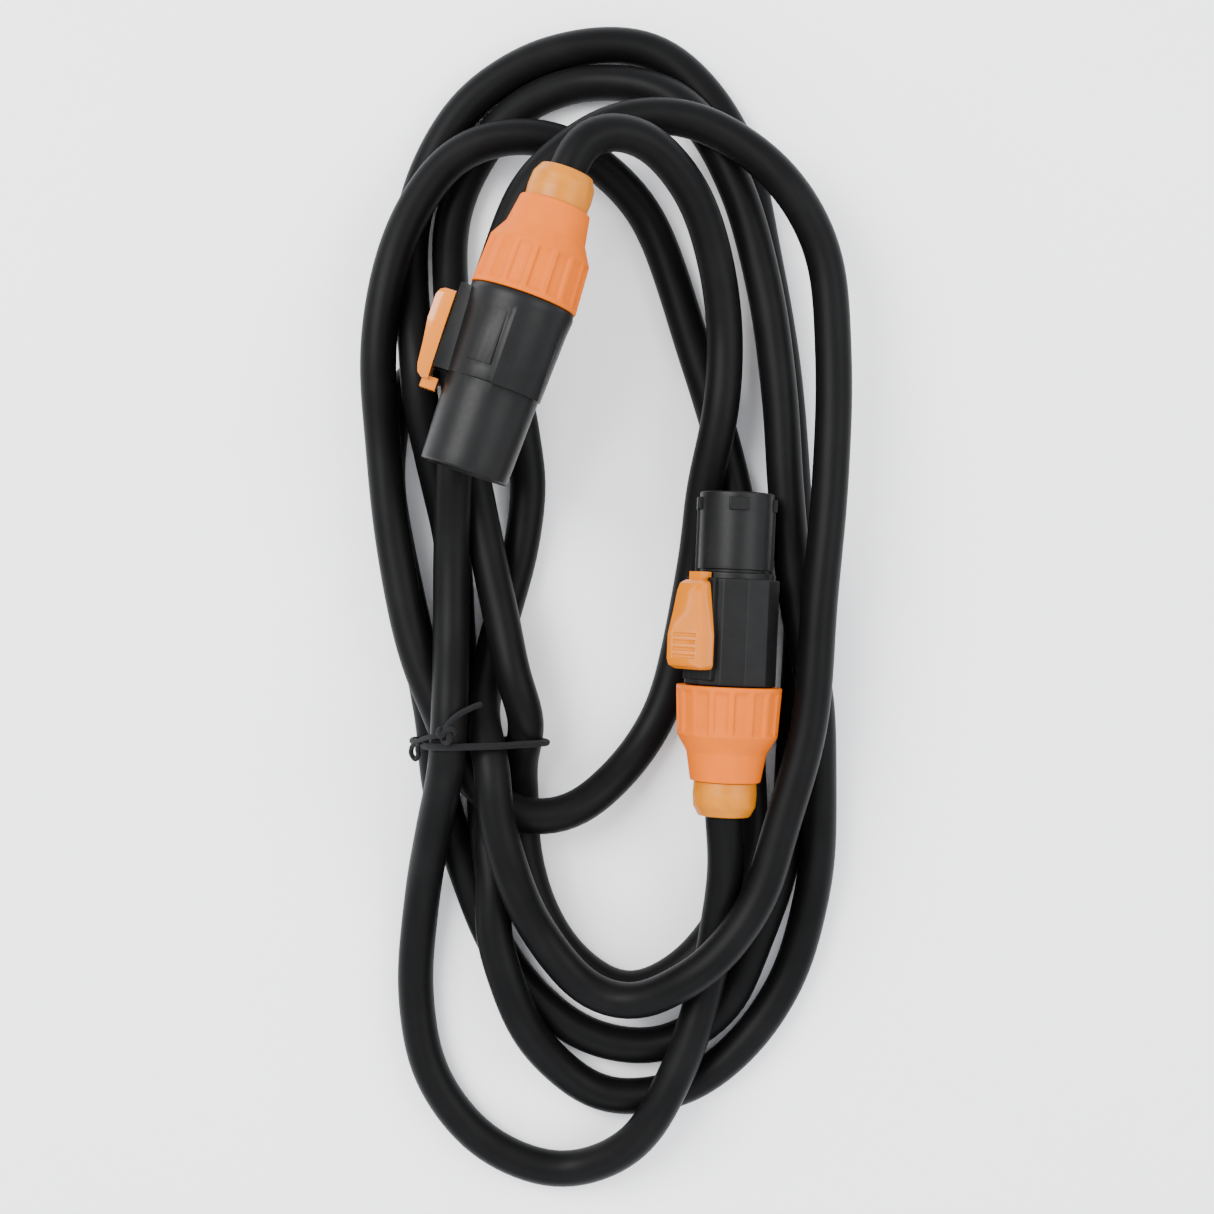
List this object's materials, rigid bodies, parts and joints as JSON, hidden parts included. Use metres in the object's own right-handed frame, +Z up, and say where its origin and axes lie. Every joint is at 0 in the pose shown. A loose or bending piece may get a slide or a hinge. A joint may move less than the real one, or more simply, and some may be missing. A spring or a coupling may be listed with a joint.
{
  "type": "shore power cord",
  "caption": "Black three-core power cord tied in a long oval hank, with a locking cable socket and a locking cable plug that have orange nuts, boots and latches.",
  "frame": {"origin": "middle of the hank's footprint, on the surface that it lies on", "axes": "+Z up; +Y along the hank's long side, towards the end where the socket's cord leaves; +X towards the side where the plug lies"},
  "size_m": [0.133, 0.322, 0.0583],
  "materials": {
    "cord_rubber": "matt black extruded rubber jacket with a faint sheen",
    "tie_elastic": "braided black elastic",
    "connector_black": "fine-textured black glass-filled nylon",
    "insert_black": "smooth dark nylon",
    "contact_brass": "plated contact metal",
    "screw_steel": "zinc-plated steel",
    "core_brown": "brown core insulation",
    "core_blue": "blue core insulation",
    "core_green": "green core insulation with a yellow stripe",
    "seal_rubber": "soft grey-black rubber",
    "clamp_nylon": "natural nylon",
    "nut_orange": "matt orange moulded plastic",
    "boot_rubber": "smooth amber orange rubber",
    "latch_orange": "glossy orange moulded plastic",
    "spring_steel": "spring steel wire"
  },
  "bodies": {
    "lead": {"cord_jacket": "cord_rubber", "tie_band": "tie_elastic", "tie_knot": "tie_elastic", "socket_housing": "connector_black", "socket_contact_core": "insert_black", "socket_terminal_block": "insert_black", "socket_line_contact": "contact_brass", "socket_neutral_contact": "contact_brass", "socket_earth_contact": "contact_brass", "socket_terminal_screws": "screw_steel", "socket_line_core": "core_brown", "socket_neutral_core": "core_blue", "socket_earth_core": "core_green", "socket_seal": "seal_rubber", "socket_cable_clamp": "clamp_nylon", "socket_latch_spring": "spring_steel", "plug_housing": "connector_black", "plug_contact_core": "insert_black", "plug_terminal_block": "insert_black", "plug_line_contact": "contact_brass", "plug_neutral_contact": "contact_brass", "plug_earth_contact": "contact_brass", "plug_terminal_screws": "screw_steel", "plug_line_core": "core_brown", "plug_neutral_core": "core_blue", "plug_earth_core": "core_green", "plug_seal": "seal_rubber", "plug_cable_clamp": "clamp_nylon", "plug_latch_spring": "spring_steel"},
    "socket_nut_body": {"socket_locking_nut": "nut_orange"},
    "socket_boot_body": {"socket_boot": "boot_rubber"},
    "socket_latch_body": {"socket_latch": "latch_orange"},
    "plug_nut_body": {"plug_locking_nut": "nut_orange"},
    "plug_boot_body": {"plug_boot": "boot_rubber"},
    "plug_latch_body": {"plug_latch": "latch_orange"}
  },
  "joints": [
    {"name": "socket_boot_travel", "type": "slide", "parent": "lead", "child": "socket_boot_body", "axis": [0.3256, 0.9455, 0], "range_m": [0, 0.003]},
    {"name": "socket_nut_turn", "type": "hinge", "parent": "socket_boot_body", "child": "socket_nut_body", "pos_m": [-0.02163, 0.07963, 0.044], "axis": [0.3256, 0.9455, 0], "range_deg": [0, 540]},
    {"name": "socket_latch_slide", "type": "slide", "parent": "lead", "child": "socket_latch_body", "axis": [0.3256, 0.9455, 0], "range_m": [0, 0.0035], "stiffness_N_per_m": 600, "springref_m": -0.004, "deforming": ["socket_latch_spring"]},
    {"name": "plug_boot_travel", "type": "slide", "parent": "lead", "child": "plug_boot_body", "axis": [-0.0436, -0.999, 0], "range_m": [0, 0.003]},
    {"name": "plug_nut_turn", "type": "hinge", "parent": "plug_boot_body", "child": "plug_nut_body", "pos_m": [0.03275, -0.02115, 0.025], "axis": [-0.0436, -0.999, 0], "range_deg": [0, 540]},
    {"name": "plug_latch_slide", "type": "slide", "parent": "lead", "child": "plug_latch_body", "axis": [-0.0436, -0.999, 0], "range_m": [0, 0.0035], "stiffness_N_per_m": 600, "springref_m": -0.004, "deforming": ["plug_latch_spring"]}
  ],
  "couplings": [
    {"joint": "socket_nut_turn", "follows": "socket_boot_travel", "rad_per_m": 3141.6},
    {"joint": "plug_nut_turn", "follows": "plug_boot_travel", "rad_per_m": 3141.6}
  ]
}
